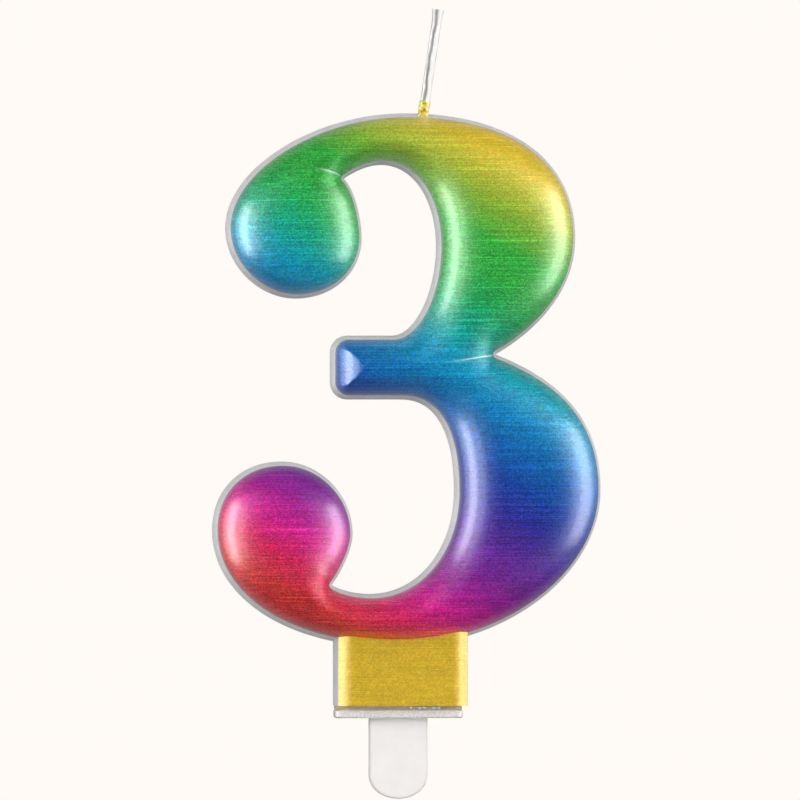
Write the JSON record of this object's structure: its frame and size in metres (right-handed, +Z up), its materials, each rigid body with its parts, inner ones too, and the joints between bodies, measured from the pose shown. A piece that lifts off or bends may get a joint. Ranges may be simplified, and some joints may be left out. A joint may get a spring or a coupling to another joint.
{
  "type": "number birthday candle",
  "caption": "Moulded numeral candle with a pillowed metallic rainbow face on a gold pedestal, a leaning wick, and a flat pick that stands it in a cake.",
  "frame": {"origin": "middle of the foot plate's underside, on the pick's centre line, where the plate rests on the icing", "axes": "+Z up along the pick, the numeral reads correctly when seen from -Y, +X to its right"},
  "size_m": [0.0476, 0.0088, 0.0963],
  "materials": {
    "pearl_silver_wax": "satin",
    "rainbow_foil": "satin",
    "gold_foil": "satin",
    "waxed_cotton": "satin",
    "gold_wax": "gloss",
    "silvered_plastic": "satin",
    "clear_glue": "gloss",
    "milky_plastic": "satin"
  },
  "bodies": {
    "pick": {"pick": "milky_plastic"},
    "candle": {"wax_body": "pearl_silver_wax", "rainbow_foil": "rainbow_foil", "gold_foil": "gold_foil", "wick": "waxed_cotton", "wick_seal": "gold_wax", "foot_plate": "silvered_plastic", "glue_bead": "clear_glue"}
  },
  "joints": [
    {"name": "pick_draw", "type": "slide", "parent": "pick", "child": "candle", "axis": [0, 0, 1], "range_m": [0, 0.01]}
  ]
}
